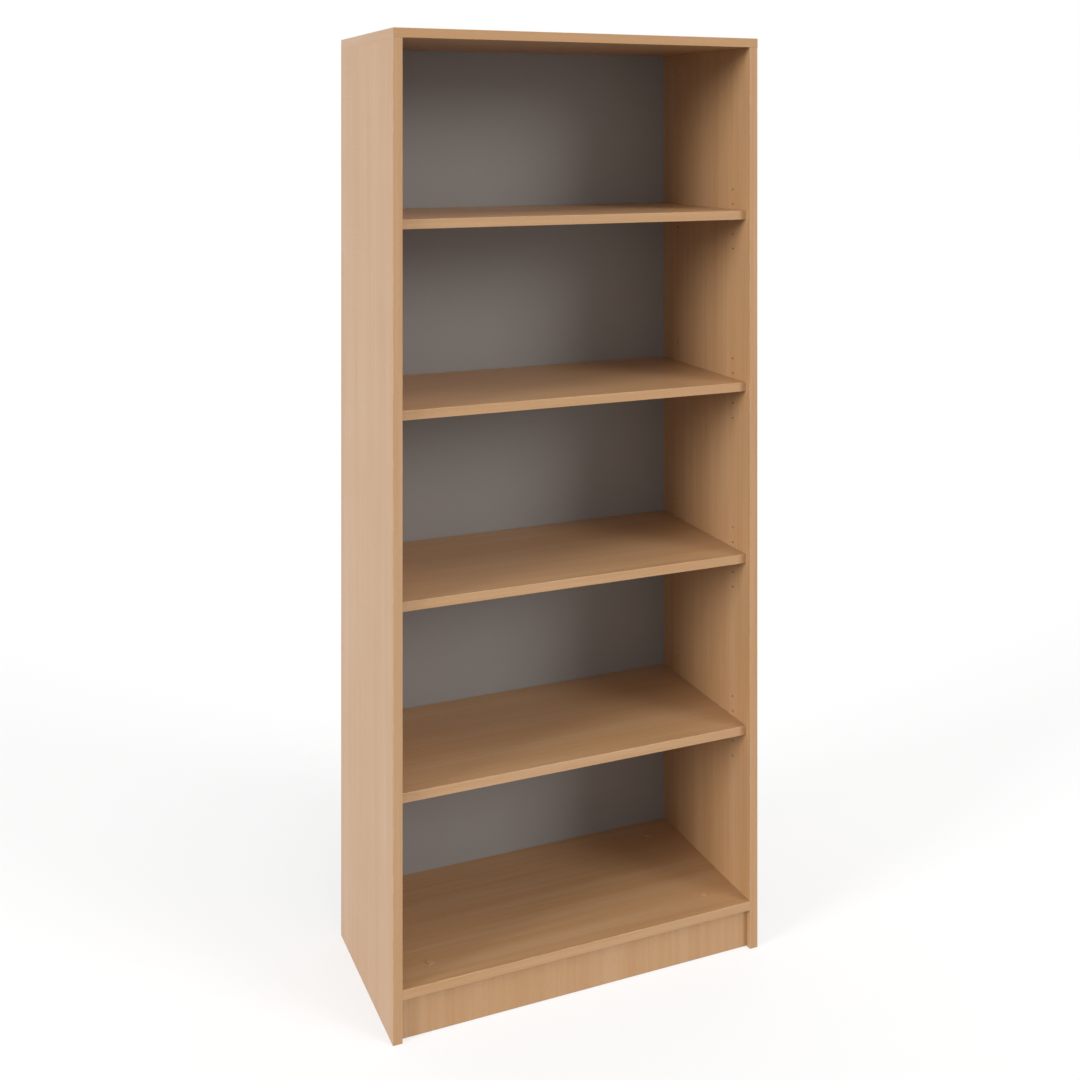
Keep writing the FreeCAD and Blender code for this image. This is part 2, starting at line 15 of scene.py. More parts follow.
import bpy
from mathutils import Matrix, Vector

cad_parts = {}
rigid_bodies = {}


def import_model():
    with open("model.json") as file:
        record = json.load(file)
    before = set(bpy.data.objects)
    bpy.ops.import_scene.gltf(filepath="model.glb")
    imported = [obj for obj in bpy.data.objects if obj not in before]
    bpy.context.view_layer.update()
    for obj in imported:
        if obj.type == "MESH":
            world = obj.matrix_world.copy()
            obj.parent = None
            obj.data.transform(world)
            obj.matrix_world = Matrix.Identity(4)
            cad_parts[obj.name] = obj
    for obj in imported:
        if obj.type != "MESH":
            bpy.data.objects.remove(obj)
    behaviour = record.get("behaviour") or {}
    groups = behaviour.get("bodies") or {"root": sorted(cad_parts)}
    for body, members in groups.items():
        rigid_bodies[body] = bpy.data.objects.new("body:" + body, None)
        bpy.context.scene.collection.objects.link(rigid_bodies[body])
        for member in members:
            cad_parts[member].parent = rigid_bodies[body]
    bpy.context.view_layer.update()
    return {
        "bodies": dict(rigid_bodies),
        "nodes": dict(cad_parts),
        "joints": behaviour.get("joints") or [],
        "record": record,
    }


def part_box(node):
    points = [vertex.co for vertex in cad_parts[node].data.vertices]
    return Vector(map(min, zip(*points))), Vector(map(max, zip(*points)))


Pair = tuple[float, float]
Triple = tuple[float, float, float]
Frame = dict[str, Any]

LOG = logging.getLogger("shelving_unit")
MILLIMETRE = 0.001
# The middle of a value that goes from 0 to 1, such as noise.
MIDDLE = 0.5
WHITE: Triple = (1.0, 1.0, 1.0)


class Axis(Enum):
    """A direction of the unit, as the place of its number in a triple."""

    X = 0
    Y = 1
    Z = 2


class Signal:
    """One output socket of a shader node. Arithmetic on it adds Math nodes."""

    def __init__(self, sheet: "NodeSheet", socket: bpy.types.NodeSocket) -> None:
        """Keeps the sheet that the node stands on, and the socket."""
        self.sheet = sheet
        self.socket = socket

    def math(self, operation: str, *values: "Signal | float") -> "Signal":
        """Adds a Math node with the given inputs and gives its result."""
        return self.sheet.node("ShaderNodeMath", {"operation": operation}, dict(enumerate(values)))

    def __add__(self, other: "Signal | float") -> "Signal":
        """Gives the sum."""
        return self.math("ADD", self, other)

    def __radd__(self, other: float) -> "Signal":
        """Gives the sum with a number in front."""
        return self.math("ADD", other, self)

    def __sub__(self, other: "Signal | float") -> "Signal":
        """Gives the difference."""
        return self.math("SUBTRACT", self, other)

    def __rsub__(self, other: float) -> "Signal":
        """Gives the difference from a number."""
        return self.math("SUBTRACT", other, self)

    def __mul__(self, other: "Signal | float") -> "Signal":
        """Gives the product."""
        return self.math("MULTIPLY", self, other)

    def __rmul__(self, other: float) -> "Signal":
        """Gives the product with a number in front."""
        return self.math("MULTIPLY", other, self)

    def __abs__(self) -> "Signal":
        """Gives the size without its sign."""
        return self.math("ABSOLUTE", self)

    def least(self, other: "Signal | float") -> "Signal":
        """Gives the smaller of the two."""
        return self.math("MINIMUM", self, other)

    def most(self, other: "Signal | float") -> "Signal":
        """Gives the larger of the two."""
        return self.math("MAXIMUM", self, other)


SignalTriple = tuple[Signal, Signal, Signal]


class NodeSheet:
    """The shader tree of one finish, of the floor or of the surroundings."""

    def __init__(self, tree: bpy.types.NodeTree) -> None:
        """Starts on an empty tree."""
        self.tree = tree
        self.tree.nodes.clear()

    def add(
        self,
        kind: str,
        settings: dict[str, Any] | None = None,
        inputs: dict[int | str, Any] | None = None,
    ) -> bpy.types.Node:
        """Adds one node.

        Args:
            kind: The type of the node.
            settings: Its settings, which are set first.
            inputs: A value or a signal for each socket that is used.

        Returns:
            The node.
        """
        made = self.tree.nodes.new(kind)
        for name, value in (settings or {}).items():
            setattr(made, name, value)
        for name, value in (inputs or {}).items():
            if isinstance(value, Signal):
                self.tree.links.new(value.socket, made.inputs[name])
            else:
                made.inputs[name].default_value = value
        return made

    def node(
        self,
        kind: str,
        settings: dict[str, Any] | None = None,
        inputs: dict[int | str, Any] | None = None,
        output: int | str = 0,
    ) -> Signal:
        """Adds one node and gives the output that is wanted from it."""
        return Signal(self, self.add(kind, settings, inputs).outputs[output])

    def show(self, kind: str, shader: Signal) -> None:
        """Ends the tree with an output node of the given type."""
        self.add(kind, inputs={"Surface": shader})

    def split(self, vector: Signal) -> SignalTriple:
        """Takes a vector apart into its three numbers."""
        x, y, z = self.add("ShaderNodeSeparateXYZ", inputs={0: vector}).outputs
        return Signal(self, x), Signal(self, y), Signal(self, z)

    def place(self) -> SignalTriple:
        """Gives the place on the piece along X, Y and Z."""
        return self.split(self.node("ShaderNodeTexCoord", output="Object"))

    def turn(self, axis: Axis) -> Signal:
        """Gives how far round a direction the surface faces, in turns.

        Args:
            axis: The direction that a round bar runs in.

        Returns:
            The part of a turn, from minus a half to a half.
        """
        facing = self.split(self.node("ShaderNodeTexCoord", output="Normal"))
        first, second = facing[(axis.value + 1) % 3], facing[(axis.value + 2) % 3]
        return second.math("ARCTAN2", second, first) * (1 / math.tau)

    def ridges(self, value: Signal) -> Signal:
        """Falls from 1 to 0 and rises back once for each whole step of the value."""
        return 2 * abs(value.math("FRACT", value) - MIDDLE)

    def vector(self, x: Signal | float, y: Signal | float, z: Signal | float) -> Signal:
        """Puts three numbers together as a vector."""
        return self.node("ShaderNodeCombineXYZ", inputs={0: x, 1: y, 2: z})

    def stretched(self, vector: Signal, size: Triple) -> Signal:
        """Divides a place by the size of the pattern's features along each direction."""
        per_metre = tuple(1 / length for length in size)
        return self.node("ShaderNodeVectorMath", {"operation": "MULTIPLY"}, {0: vector, 1: per_metre})

    def noise(self, vector: Signal, size: Triple, detail: float = 2.0) -> Signal:
        """Draws clouds of the given size, from 0 to 1, with finer layers where the detail is higher."""
        place = self.stretched(vector, size)
        return self.node("ShaderNodeTexNoise", inputs={"Vector": place, "Scale": 1.0, "Detail": detail})

    def cells(self, vector: Signal, size: Triple) -> tuple[Signal, Signal]:
        """Draws cells of irregular shape.

        Args:
            vector: The place on the piece.
            size: The size of the cells along each direction.

        Returns:
            The distance from the middle of the cell, and a random number of the cell.
        """
        inputs = {"Vector": self.stretched(vector, size), "Scale": 1.0}
        drawn = self.add("ShaderNodeTexVoronoi", inputs=inputs).outputs
        chance = self.node("ShaderNodeSeparateColor", inputs={0: Signal(self, drawn["Color"])})
        return Signal(self, drawn["Distance"]), chance

    def ease(self, value: Signal, start: float, end: float) -> Signal:
        """Goes smoothly from 0 where the value is at the start to 1 where it is at the end."""
        settings = {"interpolation_type": "SMOOTHSTEP"}
        return self.node("ShaderNodeMapRange", settings, {0: value, 1: start, 2: end})

    def mix(self, share: Signal, first: Signal | Triple, second: Signal | Triple) -> Signal:
        """Mixes two colours by the share of the second, at the sockets that the node has for colours."""
        inputs = {0: share, 6: opaque(first), 7: opaque(second)}
        return self.node("ShaderNodeMix", {"data_type": "RGBA"}, inputs, output=2)


def opaque(colour: Signal | Triple) -> Signal | tuple[float, float, float, float]:
    """Adds full opacity to a plain colour, and leaves a signal as it is."""
    return colour if isinstance(colour, Signal) else (*colour, 1.0)


def even(value: float) -> Triple:
    """Gives a size that is the same along every direction, or a grey."""
    return value, value, value


def new_material(name: str) -> tuple[bpy.types.Material, NodeSheet]:
    """Makes a material.

    Args:
        name: The name of the material.

    Returns:
        The material and its empty sheet.
    """
    material = bpy.data.materials.new(name)
    material.use_nodes = True
    return material, NodeSheet(material.node_tree)


def add_object(name: str, data: bpy.types.ID) -> bpy.types.Object:
    """Adds an object to the scene.

    Args:
        name: The name of the object.
        data: Its mesh, lamp or camera.

    Returns:
        The object.
    """
    made = bpy.data.objects.new(name, data)
    bpy.context.scene.collection.objects.link(made)
    return made


@dataclass(frozen=True)
class Surface:
    """What a finish gives the shader. The height is in millimetres."""

    colour: Signal
    roughness: Signal
    height: Signal
    metallic: float = 0.0


@dataclass(frozen=True)
class Finish:
    """A finish that can be put on pieces."""

    name: str

    def paint(self, sheet: NodeSheet) -> Surface:
        """Draws the finish on an empty sheet."""
        raise NotImplementedError

    def material(self) -> bpy.types.Material:
        """Makes the material of this finish.

        Returns:
            The material, ready to be put on a piece.
        """
        material, sheet = new_material(self.name)
        surface = self.paint(sheet)
        relief = {"Distance": MILLIMETRE, "Height": surface.height}
        inputs = {
            "Base Color": surface.colour,
            "Roughness": surface.roughness,
            "Metallic": surface.metallic,
            "Normal": sheet.node("ShaderNodeBump", inputs=relief),
        }
        sheet.show("ShaderNodeOutputMaterial", sheet.node("ShaderNodeBsdfPrincipled", inputs=inputs))
        return material


@dataclass(frozen=True)
class Extent:
    """The box that a piece fills, from its lowest to its highest corner."""

    low: Triple
    high: Triple

    @classmethod
    def of(cls, node: str) -> "Extent":
        """Reads the box of a piece of the unit."""
        low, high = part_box(node)
        return cls(tuple(low), tuple(high))

    def span(self, axis: Axis) -> Pair:
        """Gives the lowest and the highest place along one direction."""
        return self.low[axis.value], self.high[axis.value]

    def inset(self, place: SignalTriple, axis: Axis) -> Signal:
        """Gives the distance from the nearer end of the box along one direction."""
        (low, high), at = self.span(axis), place[axis.value]
        return (at - low).least(high - at)

    def from_edge(self, place: SignalTriple) -> Signal:
        """Gives the distance on the box's faces from the nearest edge, the middle one of three insets."""
        x, y, z = (self.inset(place, axis) for axis in Axis)
        return x.least(y).most(x.most(y).least(z))


@dataclass(frozen=True)
class EdgeWear:
    """Edges that are rubbed a little paler and smoother, in patches.

    The patch edge is where in the clouds a patch begins and where it is full.
    """

    colour: Triple = (0.62, 0.41, 0.235)
    width: float = 0.0018
    patch_size: float = 0.03
    patch_edge: Pair = (0.48, 0.62)
    strength: float = 0.45
    polish: float = 0.10

    def rub(self, sheet: NodeSheet, surface: Surface, extent: Extent) -> Surface:
        """Rubs the edges of a piece.

        Args:
            sheet: The sheet to draw on.
            surface: The surface of the unworn piece.
            extent: The box of the piece.

        Returns:
            The worn surface.
        """
        place = sheet.place()
        clouds = sheet.noise(sheet.vector(*place), even(self.patch_size), detail=4.0)
        near = sheet.ease(extent.from_edge(place), self.width, 0.0)
        rubbed = self.strength * near * sheet.ease(clouds, *self.patch_edge)
        return replace(
            surface,
            colour=sheet.mix(rubbed, surface.colour, self.colour),
            roughness=surface.roughness - self.polish * rubbed,
        )


@dataclass(frozen=True)
class Thread:
    """A screw thread round bars that run in one direction. Its ends are counted without a sign."""

    axis: Axis
    start: float
    end: float
    pitch: float
    depth_mm: float
    run_out: float = 0.0003

    def relief(self, sheet: NodeSheet) -> Signal:
        """Gives the height of the winding ridge in millimetres.

        Args:
            sheet: The sheet to draw on.

        Returns:
            The height, which is 0 beyond the ends of the thread.
        """
        along = sheet.place()[self.axis.value]
        winding = sheet.ridges(along * (1 / self.pitch) - sheet.turn(self.axis))
        begun = sheet.ease(abs(along), self.start, self.start + self.run_out)
        ended = sheet.ease(abs(along), self.end - self.run_out, self.end)
        return self.depth_mm * winding * begun * (1 - ended)


@dataclass(frozen=True)
class BeechFigure:
    """The printed beech figure: slow bands of tone, streaks, fibres and short dark flecks.

    A size in three numbers is across the grain, through the thickness and along the grain. A share is
    how much a pattern counts in the tone, and a sheen is how much it changes the roughness. The edges
    are where a fleck or a scuff begins in its pattern, and where it is full.
    """

    pale: Triple = (0.530, 0.331, 0.190)
    dark: Triple = (0.430, 0.225, 0.084)
    fleck: Triple = (0.270, 0.135, 0.050)
    band_size: Triple = (0.055, 0.055, 1.3)
    band_share: float = 0.85
    streak_size: Triple = (0.008, 0.008, 0.42)
    streak_share: float = 0.85
    fibre_size: Triple = (0.0012, 0.0012, 0.05)
    fibre_share: float = 0.45
    fibre_relief: float = 0.035
    fibre_sheen: float = 0.08
    fleck_size: Triple = (0.0008, 0.0008, 0.0068)
    fleck_edge: Pair = (0.36, 0.20)
    fleck_count: float = 0.34
    fleck_share: float = 0.55
    roughness: float = 0.35
    smudge_size: float = 0.16
    smudge_sheen: float = 0.14
    scuff_size: Triple = (0.14, 0.0009, 0.0009)
    scuff_edge: Pair = (0.58, 0.70)
    scuff_sheen: float = 0.07

    def draw(self, sheet: NodeSheet, across: Signal, through: Signal, along: Signal) -> Surface:
        """Draws the figure on a face or a band.

        Args:
            sheet: The sheet to draw on.
            across: The place across the grain, on the face.
            through: The place through the thickness.
            along: The place along the grain.

        Returns:
            The surface of the beech print.
        """
        grain = sheet.vector(across, through, along)
        band = sheet.noise(grain, self.band_size) - MIDDLE
        streak = sheet.noise(grain, self.streak_size, detail=3.0) - MIDDLE
        fibre = sheet.noise(grain, self.fibre_size) - MIDDLE
        tone = MIDDLE + self.band_share * band + self.streak_share * streak + self.fibre_share * fibre
        distance, chance = sheet.cells(grain, self.fleck_size)
        fleck = sheet.ease(distance, *self.fleck_edge) * sheet.ease(chance, 1 - self.fleck_count, 1.0)
        wood = sheet.mix(tone, self.dark, self.pale)
        smudge = sheet.noise(grain, even(self.smudge_size), detail=3.0) - MIDDLE
        scuff = sheet.ease(sheet.noise(grain, self.scuff_size), *self.scuff_edge)
        sheen = self.smudge_sheen * smudge + self.fibre_sheen * fibre + self.scuff_sheen * scuff
        return Surface(
            colour=sheet.mix(self.fleck_share * fleck, wood, self.fleck),
            roughness=self.roughness + sheen,
            height=self.fibre_relief * (fibre - fleck),
        )


@dataclass(frozen=True)
class Chipboard:
    """The raw core of the boards, as it shows on plain edges and in drilled holes.

    The size of a chip is across the board, through its thickness and along it. In the relief, the crown
    is the slope over one chip, and the step is the difference from chip to chip.
    """

    pale: Triple = (0.55, 0.385, 0.22)
    dark: Triple = (0.25, 0.15, 0.072)
    chip_size: Triple = (0.0042, 0.0011, 0.0042)
    chip_share: float = 0.8
    chip_crown: float = 0.5
    chip_step: float = 0.4
    pore_size: float = 0.0016
    pore_edge: Pair = (0.46, 0.30)
    pore_shade: float = 0.7
    pore_sheen: float = 0.1
    relief: float = 0.22
    roughness: float = 0.88

    def draw(self, sheet: NodeSheet, across: Signal, through: Signal, along: Signal) -> Surface:
        """Draws the pressed chips.

        Args:
            sheet: The sheet to draw on.
            across: The place across the board.
            through: The place through its thickness.
            along: The place along the board.

        Returns:
            The surface of the core.
        """
        place = sheet.vector(across, through, along)
        distance, chance = sheet.cells(place, self.chip_size)
        pores = sheet.noise(place, even(self.pore_size), detail=3.0)
        pitted = sheet.ease(pores, *self.pore_edge)
        tone = self.chip_share * chance + (1 - self.chip_share) * pores
        chips = sheet.mix(tone, self.dark, self.pale)
        return Surface(
            colour=sheet.mix(self.pore_shade * pitted, chips, self.dark),
            roughness=self.roughness + self.pore_sheen * (pores - MIDDLE),
            height=self.relief * (self.chip_crown * distance + self.chip_step * chance - pitted),
        )


@dataclass(frozen=True)
class BeechBoard(Finish):
    """A chipboard with a beech-printed face on both sides. Its plain edges and holes show the core."""

    extent: Extent
    grain: Axis
    thickness: Axis
    shift: float
    figure: BeechFigure = BeechFigure()
    core: Chipboard = Chipboard()
    facing_thickness: float = 0.0004
    facing_edge: float = 0.00004
    # Colour, width and strength of a thin dark line along the edges of each face: partly a glue line,
    # partly painted shade where boards and bands meet.
    seam_glue_and_painted_shade: Triple = (0.20, 0.105, 0.045)
    seam_glue_and_shade_width: float = 0.0012
    seam_glue_and_shade_strength: float = 0.35

    def paint(self, sheet: NodeSheet) -> Surface:
        """Draws the faces, a thin dark line along their edges that is partly a glue line and partly painted
        shade, and the core.

        Args:
            sheet: The sheet to draw on.

        Returns:
            The surface of the board.
        """
        place = sheet.place()
        (across_axis,) = set(Axis) - {self.grain, self.thickness}
        across = place[across_axis.value] + self.shift
        through = place[self.thickness.value]
        along = place[self.grain.value] + self.shift
        face = self.figure.draw(sheet, across, through, along)
        core = self.core.draw(sheet, across, through, along)
        depth = self.extent.inset(place, self.thickness)
        is_core = sheet.ease(depth, self.facing_thickness - self.facing_edge, self.facing_thickness)
        # Painted shade, partly a glue line: the face is darkened close to its edges.
        rim = self.extent.inset(place, self.grain).least(self.extent.inset(place, across_axis))
        seam_glue_and_shade = self.seam_glue_and_shade_strength * sheet.ease(rim, self.seam_glue_and_shade_width, 0.0)
        return Surface(
            colour=sheet.mix(is_core, sheet.mix(seam_glue_and_shade, face.colour, self.seam_glue_and_painted_shade), core.colour),
            roughness=face.roughness + is_core * (core.roughness - face.roughness),
            height=face.height + is_core * (core.height - face.height),
        )


@dataclass(frozen=True)
class BeechBand(Finish):
    """A plastic edge band with the beech print, its grain along its length.

    A band that goes round corners turns at a distance to either side, and runs from front to rear there.
    """

    extent: Extent
    length: Axis
    shift: float
    turn_at: float | None = None
    turn_width: float = 0.0001
    figure: BeechFigure = BeechFigure(roughness=0.33, fibre_relief=0.02, scuff_sheen=0.0)
    wear: EdgeWear = EdgeWear()

    def paint(self, sheet: NodeSheet) -> Surface:
        """Draws the band.

        Args:
            sheet: The sheet to draw on.

        Returns:
            The surface of the band.
        """
        x, y, z = sheet.place()
        across, through, along = (x, y, z) if self.length is Axis.Z else (z, y, x)
        if self.turn_at is not None:
            turned = sheet.ease(abs(x), self.turn_at - self.turn_width, self.turn_at)
            through = y + turned * (x - y)
            along = x + turned * (y - x)
        unworn = self.figure.draw(sheet, across + self.shift, through, along + self.shift)
        return self.wear.rub(sheet, unworn, self.extent)


@dataclass(frozen=True)
class GreyHardboard(Finish):
    """Thin hardboard with a grey lacquered front and a raw brown rear with a screen imprint.

    The lacquer and raw shares are how much each pattern counts in the tone.
    """

    front: float
    lacquer_thickness: float = 0.0003
    lacquer_edge: float = 0.00003
    lacquer_roughness: float = 0.50
    lacquer_mottle_share: float = 0.5
    lacquer_fibre_share: float = 0.5
    grey_pale: Triple = (0.265, 0.252, 0.243)
    grey_dark: Triple = (0.225, 0.213, 0.205)
    raw_roughness: float = 0.86
    raw_mottle_share: float = 0.45
    raw_fibre_share: float = 0.4
    raw_screen_share: float = 0.15
    brown_pale: Triple = (0.31, 0.195, 0.105)
    brown_dark: Triple = (0.20, 0.118, 0.058)
    mottle_size: float = 0.07
    mottle_sheen: float = 0.12
    fibre_size: float = 0.0025
    fibre_relief: float = 0.03
    screen_pitch: float = 0.0021
    screen_relief: float = 0.16

    def paint(self, sheet: NodeSheet) -> Surface:
        """Draws the lacquer on the front, and the raw board elsewhere.

        Args:
            sheet: The sheet to draw on.

        Returns:
            The surface of the hardboard.
        """
        x, y, z = sheet.place()
        place = sheet.vector(x, y, z)
        mottle = sheet.noise(place, even(self.mottle_size), detail=4.0)
        fibre = sheet.noise(place, even(self.fibre_size), detail=3.0)
        wire, chance = sheet.cells(place, even(self.screen_pitch))
        raw_from = self.front + self.lacquer_thickness
        is_raw = sheet.ease(y, raw_from - self.lacquer_edge, raw_from)
        grey = self.lacquer_mottle_share * mottle + self.lacquer_fibre_share * fibre
        brown = (
            self.raw_mottle_share * mottle
            + self.raw_fibre_share * fibre
            + self.raw_screen_share * chance
        )
        lacquer = sheet.mix(grey, self.grey_dark, self.grey_pale)
        raw = sheet.mix(brown, self.brown_dark, self.brown_pale)
        smooth = self.lacquer_roughness + self.mottle_sheen * (mottle - MIDDLE)
        return Surface(
            colour=sheet.mix(is_raw, lacquer, raw),
            roughness=smooth + is_raw * (self.raw_roughness - smooth),
            height=self.fibre_relief * fibre + self.screen_relief * is_raw * wire,
        )


@dataclass(frozen=True)
class BareMetal(Finish):
    """Plated or cast metal with a slightly clouded surface, and a thread where it has one.

    The cloud edge is where in the noise the metal is dark and where it is pale.
    """

    pale: Triple
    dark: Triple
    roughness: float
    cloud_size: float
    pit_size: float
    pit_relief: float
    cloud_edge: Pair = (0.3, 0.7)
    cloud_sheen: float = 0.2
    pit_sheen: float = 0.15
    thread: Thread | None = None

    def paint(self, sheet: NodeSheet) -> Surface:
        """Draws the clouded metal.

        Args:
            sheet: The sheet to draw on.

        Returns:
            The surface of the metal.
        """
        place = sheet.vector(*sheet.place())
        cloud = sheet.noise(place, even(self.cloud_size), detail=3.0)
        pits = sheet.noise(place, even(self.pit_size))
        sheen = self.cloud_sheen * (cloud - MIDDLE) + self.pit_sheen * (pits - MIDDLE)
        height = self.pit_relief * pits
        return Surface(
            colour=sheet.mix(sheet.ease(cloud, *self.cloud_edge), self.dark, self.pale),
            roughness=self.roughness + sheen,
            height=height + self.thread.relief(sheet) if self.thread else height,
            metallic=1.0,
        )


@dataclass(frozen=True)
class DowelWood(Finish):
    """Turned beech with its grain along the dowel, and flutes all round for the glue."""

    grain: Axis
    flutes: int = 20
    flute_depth_mm: float = 0.35
    figure: BeechFigure = BeechFigure(
        pale=(0.60, 0.40, 0.21), dark=(0.42, 0.25, 0.11), roughness=0.72, fibre_relief=0.06,
    )

    def paint(self, sheet: NodeSheet) -> Surface:
        """Draws the wood and the flutes of the dowel.

        Args:
            sheet: The sheet to draw on.

        Returns:
            The surface of the dowel.
        """
        axes = [*sheet.place()]
        along = axes.pop(self.grain.value)
        plain = self.figure.draw(sheet, *axes, along)
        fluting = self.flute_depth_mm * sheet.ridges(self.flutes * sheet.turn(self.grain))
        return replace(plain, height=plain.height + fluting)


@dataclass(frozen=True)
class MouldedPlastic(Finish):
    """Moulded plastic with a fine spark-eroded texture."""

    pale: Triple
    dark: Triple
    roughness: float
    cloud_size: float = 0.012
    cloud_share: float = 0.6
    cloud_sheen: float = 0.12
    texture_size: float = 0.0006
    texture_share: float = 0.4
    texture_sheen: float = 0.1
    relief: float = 0.02

    def paint(self, sheet: NodeSheet) -> Surface:
        """Draws the textured plastic.

        Args:
            sheet: The sheet to draw on.

        Returns:
            The surface of the plastic.
        """
        place = sheet.vector(*sheet.place())
        cloud = sheet.noise(place, even(self.cloud_size), detail=3.0)
        texture = sheet.noise(place, even(self.texture_size))
        tone = self.cloud_share * cloud + self.texture_share * texture
        sheen = self.cloud_sheen * (cloud - MIDDLE) + self.texture_sheen * (texture - MIDDLE)
        return Surface(
            colour=sheet.mix(tone, self.dark, self.pale),
            roughness=self.roughness + sheen,
            height=self.relief * texture,
        )


PLATED_STEEL = BareMetal(
    "zinc_plated_steel", pale=(0.66, 0.67, 0.68), dark=(0.55, 0.56, 0.57), roughness=0.34,
    cloud_size=0.004, pit_size=0.0007, pit_relief=0.008,
)
CAST_ZINC = BareMetal(
    "zinc_casting", pale=(0.56, 0.56, 0.56), dark=(0.42, 0.42, 0.43), roughness=0.50,
    cloud_size=0.003, pit_size=0.0005, pit_relief=0.025,
)
BEECH_PLASTIC = MouldedPlastic(
    "beech_cap_plastic", pale=(0.52, 0.305, 0.15), dark=(0.45, 0.26, 0.125), roughness=0.48,
)
BLACK_PLASTIC = MouldedPlastic(
    "black_plastic", pale=(0.022, 0.022, 0.023), dark=(0.012, 0.012, 0.013), roughness=0.55,
)


def dress(frame: Frame, nodes: Iterable[str], finish: Finish) -> None:
    """Puts one finish on pieces.

    Args:
        frame: The loaded unit.
        nodes: The names of the pieces.
        finish: The finish that they share.
    """
    material = finish.material()
    for node in nodes:
        for slot in frame["nodes"][node].material_slots:
            slot.material = material
        LOG.info("%s: %s", node, finish.name)


@dataclass(frozen=True)
class Board:
    """One board of the unit: the direction of its grain and of its thickness."""

    node: str
    grain: Axis
    thickness: Axis

    def dress(self, frame: Frame, shift: float) -> None:
        """Puts the beech print and the core on the board.

        Args:
            frame: The loaded unit.
            shift: How far the print is moved, so that no two boards are alike.
        """
        extent = Extent.of(self.node)
        finish = BeechBoard(f"beech_{self.node}", extent, self.grain, self.thickness, shift)
        dress(frame, [self.node], finish)


@dataclass(frozen=True)
class Band:
    """One edge band of the unit and the direction of its length."""

    node: str
    length: Axis

    def dress(self, frame: Frame, shift: float, turn_at: float | None = None) -> None:
        """Puts the beech print on the band.

        Args:
            frame: The loaded unit.
            shift: How far the print is moved, so that no two bands are alike.
            turn_at: How far to either side the band turns to run from front to rear, if it does.
        """
        extent = Extent.of(self.node)
        finish = BeechBand(f"beech_{self.node}", extent, self.length, shift, turn_at)
        dress(frame, [self.node], finish)


@dataclass(frozen=True)
class Carcass:
    """The fixed boards with their edge bands."""

    print_step: float = 2.3
    boards: tuple[Board, ...] = (
        Board("side_panel_left", Axis.Z, Axis.X),
        Board("side_panel_right", Axis.Z, Axis.X),
        Board("top_panel", Axis.X, Axis.Z),
        Board("bottom_panel", Axis.X, Axis.Z),
        Board("plinth_front", Axis.Z, Axis.Y),
        Board("plinth_rear", Axis.Z, Axis.Y),
    )
    bands: tuple[Band, ...] = (
        Band("side_edge_band_left", Axis.Z),
        Band("side_edge_band_right", Axis.Z),
        Band("bottom_edge_band", Axis.X),
    )
    top_bands: Band = Band("top_edge_bands", Axis.X)
    top_print: float = -16.1
    band_thickness: float = 0.002

    def dress(self, frame: Frame) -> None:
        """Puts the beech print on the boards and the bands.

        Args:
            frame: The loaded unit.
        """
        for number, board in enumerate(self.boards, start=1):
            board.dress(frame, number * self.print_step)
        for number, band in enumerate(self.bands, start=1):
            band.dress(frame, -number * self.print_step)
        _, end = Extent.of(self.top_bands.node).span(Axis.X)
        self.top_bands.dress(frame, self.top_print, end - self.band_thickness)


@dataclass(frozen=True)
class LooseShelves:
    """The loose shelves with their edge bands and pins."""

    count: int = 4
    print_start: float = 20.0
    print_step: float = 1.7

    def dress(self, frame: Frame) -> None:
        """Puts the beech print on the shelves and plating on the pins.

        Args:
            frame: The loaded unit.
        """
        numbers = range(1, self.count + 1)
        for number in numbers:
            shift = self.print_start + number * self.print_step
            Board(f"shelf_{number}", Axis.X, Axis.Z).dress(frame, shift)
            Band(f"shelf_edge_band_{number}", Axis.X).dress(frame, -shift)
        dress(frame, [f"shelf_pins_{number}" for number in numbers], PLATED_STEEL)


@dataclass(frozen=True)
class BackPanel:
    """The thin back panel and its screws."""

    panel: str = "back_panel"
    screws: str = "back_panel_screws"
    screw_head: float = 0.0018
    screw_pitch: float = 0.00135
    screw_thread_mm: float = 0.3

    def dress(self, frame: Frame) -> None:
        """Puts the hardboard finish on the panel and plating on the screws.

        Args:
            frame: The loaded unit.
        """
        front, _ = Extent.of(self.panel).span(Axis.Y)
        dress(frame, [self.panel], GreyHardboard("grey_hardboard", front))
        start, end = Extent.of(self.screws).span(Axis.Y)
        thread = Thread(Axis.Y, start, end - self.screw_head, self.screw_pitch, self.screw_thread_mm)
        dress(frame, [self.screws], replace(PLATED_STEEL, name=f"plated_{self.screws}", thread=thread))


@dataclass(frozen=True)
class CornerFittings:
    """The cam locks, cam bolts, dowels and caps that hold the boards together."""

    bolt_thread: float = 0.011
    bolt_pitch: float = 0.0026
    bolt_thread_mm: float = 0.5

    def dress_group(self, frame: Frame, place: str, axis: Axis) -> None:
        """Puts metal and wood on the locks, bolts and dowels of one place.

        Args:
            frame: The loaded unit.
            place: The place that the fittings are named for.
            axis: The direction that the bolts and dowels lie in.
        """
        dress(frame, [f"cam_locks_{place}"], CAST_ZINC)
        bolts = f"cam_bolts_{place}"
        _, end = Extent.of(bolts).span(axis)
        thread = Thread(axis, end - self.bolt_thread, end, self.bolt_pitch, self.bolt_thread_mm)
        dress(frame, [bolts], replace(PLATED_STEEL, name=f"plated_{bolts}", thread=thread))
        dress(frame, [f"dowels_{place}"], DowelWood(f"dowel_wood_{place}", axis))

    def dress(self, frame: Frame) -> None:
        """Puts metal, wood and plastic on the fittings.

        Args:
            frame: The loaded unit.
        """
        self.dress_group(frame, "top", Axis.Z)
        self.dress_group(frame, "bottom", Axis.X)
        self.dress_group(frame, "plinths", Axis.X)
        dress(frame, ["cam_cover_caps"], BEECH_PLASTIC)


